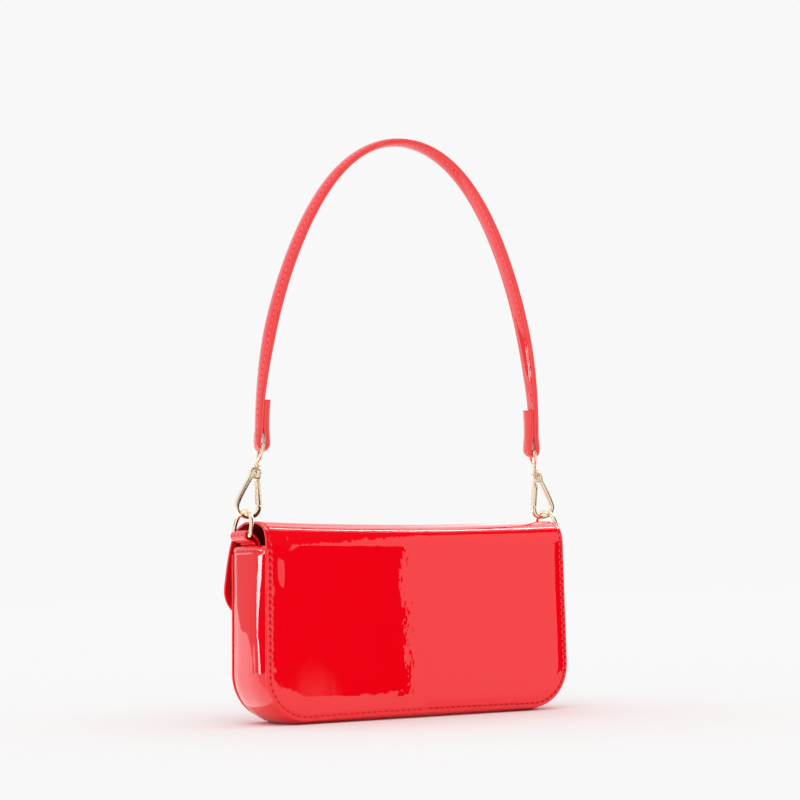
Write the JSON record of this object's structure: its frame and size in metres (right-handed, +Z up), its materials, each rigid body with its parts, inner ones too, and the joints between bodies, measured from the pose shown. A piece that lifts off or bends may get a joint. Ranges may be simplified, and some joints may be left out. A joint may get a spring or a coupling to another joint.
{
  "type": "flap bag",
  "caption": "Small boxy patent shoulder bag with a front flap on a magnet snap, a gusseted body and a short strap on swivel snap hooks and D-rings.",
  "frame": {"origin": "centre of the flat base, on the surface that the bag stands on", "axes": "+X across the width, towards the left end as seen from the back; +Y out of the back panel; +Z up, through the strap's arch"},
  "size_m": [0.2572, 0.0585, 0.3951],
  "materials": {
    "patent": "high-gloss patent",
    "edge": "satin backing with painted edges",
    "cloth": "plain woven lining",
    "board": "plain stiffener board",
    "gold": "polished light gold plating",
    "steel": "plated steel"
  },
  "bodies": {
    "bag": {"back_panel": "patent", "front_panel": "patent", "gusset": "patent", "back_board": "board", "front_board": "board", "base_board": "board", "back_lining": "cloth", "front_lining": "cloth", "gusset_lining": "cloth", "roll_lining": "cloth", "slip_pocket": "cloth", "magnet_socket": "steel", "snap_washer": "steel", "ring_tab_left": "patent", "ring_tab_right": "patent"},
    "flap": {"flap_panel": "patent", "flap_lining": "cloth", "magnet_stud": "steel"},
    "ring_left": {"d_ring_left": "gold"},
    "ring_right": {"d_ring_right": "gold"},
    "strap": {"strap_face": "patent", "strap_backing": "edge", "swivel_eye_left": "gold", "swivel_eye_right": "gold"},
    "hook_left": {"hook_frame_left": "gold", "gate_pin_left": "gold"},
    "hook_right": {"hook_frame_right": "gold", "gate_pin_right": "gold"},
    "gate_left": {"gate_left": "gold", "gate_spring_left": "steel"},
    "gate_right": {"gate_right": "gold", "gate_spring_right": "steel"}
  },
  "joints": [
    {"name": "flap_open", "type": "hinge", "parent": "bag", "child": "flap", "pos_m": [0, -0.007, 0.1313], "axis": [-1, 0, 0], "range_deg": [0, 130]},
    {"name": "strap_swing", "type": "hinge", "parent": "bag", "child": "strap", "pos_m": [0, 0, 0.13495], "axis": [-1, 0, 0], "range_deg": [-92, 87]},
    {"name": "ring_left_turn", "type": "hinge", "parent": "bag", "child": "ring_left", "pos_m": [0.1235, 0, 0.1224], "axis": [0, 1, 0], "range_deg": [-6, 2]},
    {"name": "hook_left_swivel", "type": "hinge", "parent": "strap", "child": "hook_left", "pos_m": [0.12062, 0, 0.13495], "axis": [-0.2419, 0.0423, 0.9694], "range_deg": [-10, 10]},
    {"name": "gate_left_open", "type": "hinge", "parent": "hook_left", "child": "gate_left", "pos_m": [0.112, 0.00097, 0.1571], "axis": [0, -0.999, 0.0436], "range_deg": [0, 25], "stiffness_Nm_per_rad": 0.02, "springref_deg": -11.46},
    {"name": "ring_right_turn", "type": "hinge", "parent": "bag", "child": "ring_right", "pos_m": [-0.1235, 0, 0.1224], "axis": [0, -1, 0], "range_deg": [-6, 2]},
    {"name": "hook_right_swivel", "type": "hinge", "parent": "strap", "child": "hook_right", "pos_m": [-0.12062, 0, 0.13495], "axis": [-0.2419, -0.0423, -0.9694], "range_deg": [-10, 10]},
    {"name": "gate_right_open", "type": "hinge", "parent": "hook_right", "child": "gate_right", "pos_m": [-0.112, 0.00097, 0.1571], "axis": [0, 0.999, -0.0436], "range_deg": [0, 25], "stiffness_Nm_per_rad": 0.02, "springref_deg": -11.46}
  ]
}
